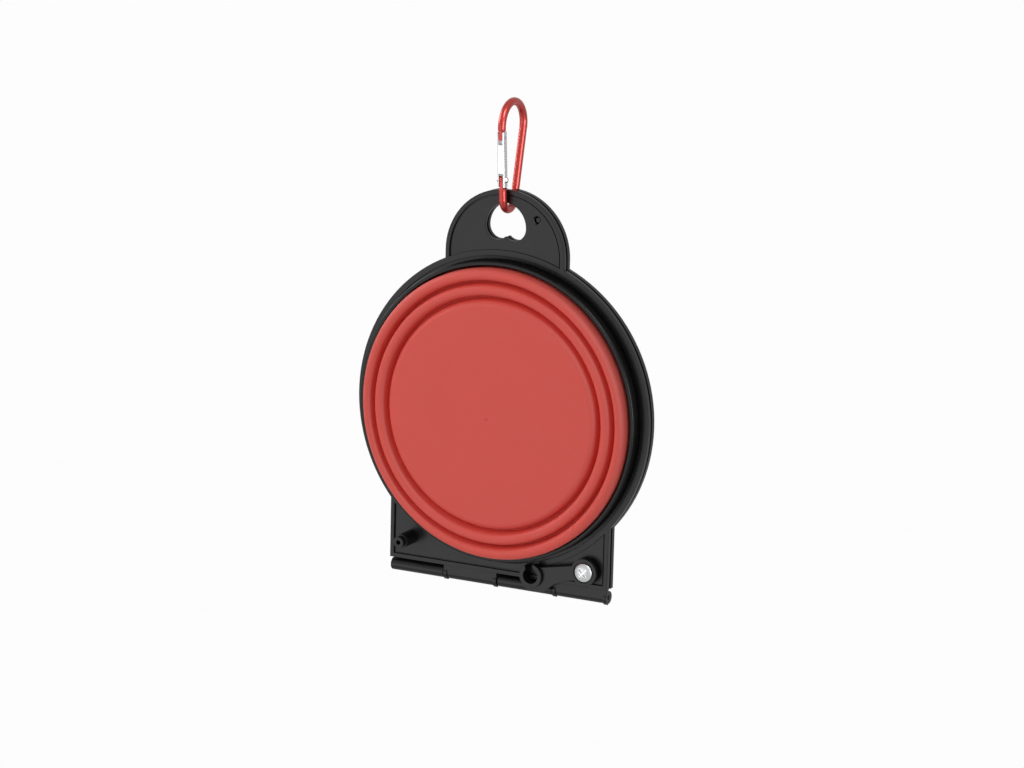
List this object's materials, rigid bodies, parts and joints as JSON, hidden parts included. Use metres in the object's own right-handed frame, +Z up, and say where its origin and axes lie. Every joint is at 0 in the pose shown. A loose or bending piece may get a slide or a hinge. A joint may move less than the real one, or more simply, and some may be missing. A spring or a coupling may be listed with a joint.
{
  "type": "folding travel bowl",
  "caption": "Folding travel bowl: collapsible silicone bowls in hinged plates with latch arms, snap handle and a sprung-gate carabiner to hang it by.",
  "frame": {"origin": "the inside of the carabiner's top bend, where the folded bowl hangs", "axes": "+Z up along the hanging bowl, -Y out of the front bowl's base, +X to the right seen from the front"},
  "size_m": [0.1398, 0.0288, 0.2142],
  "materials": {
    "plate_plastic": "satin moulded black",
    "ring_plastic": "satin moulded black",
    "silicone": "matte red silicone",
    "screw_steel": "plated",
    "pin_steel": "drawn wire",
    "red_anodised": "red anodised",
    "bright_aluminium": "bright"
  },
  "bodies": {
    "carabiner": {"carabiner_body": "red_anodised"},
    "gate": {"carabiner_gate": "bright_aluminium", "gate_rivet": "pin_steel", "gate_nose_pin": "pin_steel", "gate_spring": "pin_steel"},
    "front_half": {"front_plate": "plate_plastic", "front_rim_ring": "ring_plastic", "front_bowl_rim": "silicone", "front_latch_screw": "screw_steel", "hinge_pin": "pin_steel"},
    "back_half": {"back_plate": "plate_plastic", "back_rim_ring": "ring_plastic", "back_bowl_rim": "silicone", "back_latch_screw": "screw_steel"},
    "front_base": {"front_bowl_base": "silicone"},
    "front_step_1": {"front_bowl_step_1": "silicone"},
    "front_step_2": {"front_bowl_step_2": "silicone"},
    "front_step_3": {"front_bowl_step_3": "silicone"},
    "front_latch": {"front_latch_arm": "plate_plastic"},
    "back_base": {"back_bowl_base": "silicone"},
    "back_step_1": {"back_bowl_step_1": "silicone"},
    "back_step_2": {"back_bowl_step_2": "silicone"},
    "back_step_3": {"back_bowl_step_3": "silicone"},
    "back_latch": {"back_latch_arm": "plate_plastic"}
  },
  "joints": [
    {"name": "swing", "type": "hinge", "parent": "carabiner", "child": "front_half", "pos_m": [0, -0.0021, -0.0442], "axis": [0, 1, 0], "range_deg": [-60, 60]},
    {"name": "fold", "type": "hinge", "parent": "front_half", "child": "back_half", "pos_m": [0, -0.0021, -0.20751], "axis": [-1, 0, 0], "range_deg": [0, 180]},
    {"name": "gate", "type": "hinge", "parent": "carabiner", "child": "gate", "pos_m": [0, -0.00828, -0.03078], "axis": [-1, 0, 0], "range_deg": [0, 25], "stiffness_Nm_per_rad": 0.02, "springref_deg": -20.05},
    {"name": "front_pop", "type": "slide", "parent": "front_half", "child": "front_base", "axis": [0, -1, 0], "range_m": [0, 0.0368]},
    {"name": "front_step_1", "type": "slide", "parent": "front_half", "child": "front_step_1", "axis": [0, -1, 0], "range_m": [0, 0.0092]},
    {"name": "front_step_2", "type": "slide", "parent": "front_half", "child": "front_step_2", "axis": [0, -1, 0], "range_m": [0, 0.0184]},
    {"name": "front_step_3", "type": "slide", "parent": "front_half", "child": "front_step_3", "axis": [0, -1, 0], "range_m": [0, 0.0276]},
    {"name": "front_latch", "type": "hinge", "parent": "front_half", "child": "front_latch", "pos_m": [0.0432, -0.0061, -0.19641], "axis": [0, -1, 0], "range_deg": [0, 78.08]},
    {"name": "back_pop", "type": "slide", "parent": "back_half", "child": "back_base", "axis": [0, 1, 0], "range_m": [0, 0.0368]},
    {"name": "back_step_1", "type": "slide", "parent": "back_half", "child": "back_step_1", "axis": [0, 1, 0], "range_m": [0, 0.0092]},
    {"name": "back_step_2", "type": "slide", "parent": "back_half", "child": "back_step_2", "axis": [0, 1, 0], "range_m": [0, 0.0184]},
    {"name": "back_step_3", "type": "slide", "parent": "back_half", "child": "back_step_3", "axis": [0, 1, 0], "range_m": [0, 0.0276]},
    {"name": "back_latch", "type": "hinge", "parent": "back_half", "child": "back_latch", "pos_m": [-0.0432, 0.0019, -0.19641], "axis": [0, 1, 0], "range_deg": [0, 78.08]}
  ],
  "couplings": [
    {"joint": "front_step_1", "follows": "front_pop", "ratio": 0.25},
    {"joint": "front_step_2", "follows": "front_pop", "ratio": 0.5},
    {"joint": "front_step_3", "follows": "front_pop", "ratio": 0.75},
    {"joint": "back_step_1", "follows": "back_pop", "ratio": 0.25},
    {"joint": "back_step_2", "follows": "back_pop", "ratio": 0.5},
    {"joint": "back_step_3", "follows": "back_pop", "ratio": 0.75}
  ]
}
